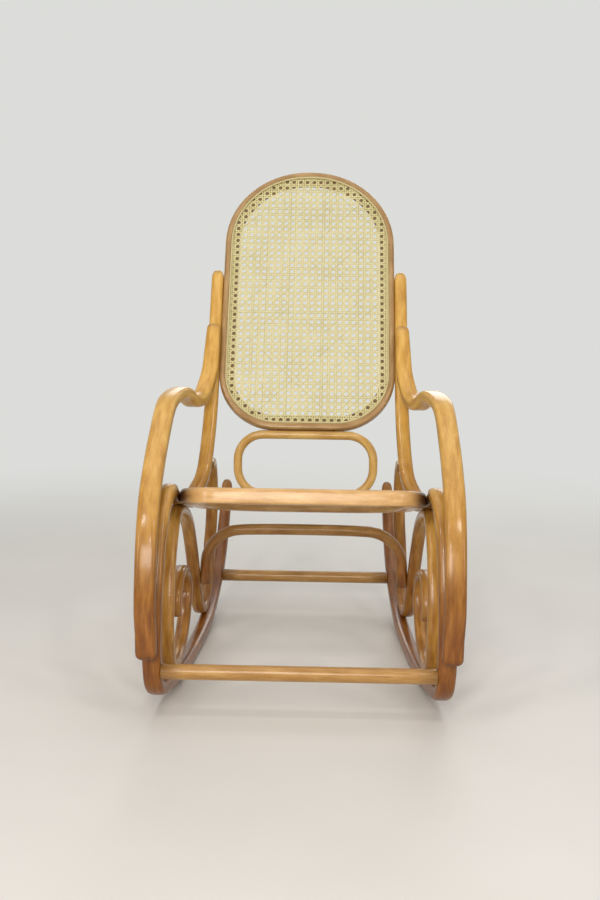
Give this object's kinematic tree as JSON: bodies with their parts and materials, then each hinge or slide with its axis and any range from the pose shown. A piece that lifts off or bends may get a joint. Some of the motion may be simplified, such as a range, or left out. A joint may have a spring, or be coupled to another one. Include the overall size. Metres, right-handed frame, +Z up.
{
  "type": "bentwood rocking chair",
  "caption": "Steam-bent beech rocking chair with scrolled side frames, curved arms on runners, and a woven cane seat and back.",
  "frame": {"origin": "on the floor, under the middle of the chair's overall box", "axes": "+Z up, the sitter faces -Y, +X to the right of someone who looks at the chair's front"},
  "size_m": [0.5886, 0.933, 1.0409],
  "materials": {
    "beech": "gloss lacquer, honey brown",
    "rim_beech": "gloss lacquer, pale tan",
    "cane": "natural, satin",
    "spline": "natural, satin",
    "screw": "darkened"
  },
  "bodies": {
    "root": {"side_frame_left": "beech", "side_frame_right": "beech", "arm_left": "beech", "arm_right": "beech", "scroll_left": "beech", "scroll_right": "beech", "seat_frame": "rim_beech", "seat_cane": "cane", "seat_spline": "spline", "back_frame": "rim_beech", "back_cane": "cane", "back_spline": "spline", "back_hoop": "beech", "front_stretcher": "beech", "rear_stretcher": "beech", "arch_brace": "beech", "post_screw_left_1": "screw", "post_screw_left_2": "screw", "post_screw_right_1": "screw", "post_screw_right_2": "screw", "arm_top_screw_left": "screw", "arm_top_screw_right": "screw", "arm_foot_screw_left": "screw", "arm_foot_screw_right": "screw", "seat_screw_left_1": "screw", "seat_screw_left_2": "screw", "seat_screw_right_1": "screw", "seat_screw_right_2": "screw", "scroll_top_screw_left": "screw", "scroll_top_screw_right": "screw", "scroll_foot_screw_left_1": "screw", "scroll_foot_screw_left_2": "screw", "scroll_foot_screw_right_1": "screw", "scroll_foot_screw_right_2": "screw", "hook_screw_left": "screw", "hook_screw_right": "screw", "front_stretcher_screw_left": "screw", "front_stretcher_screw_right": "screw", "rear_stretcher_screw_left": "screw", "rear_stretcher_screw_right": "screw", "arch_screw_left": "screw", "arch_screw_right": "screw", "hoop_top_screw_left": "screw", "hoop_top_screw_right": "screw", "hoop_foot_screw_left": "screw", "hoop_foot_screw_right": "screw"}
  },
  "joints": []
}
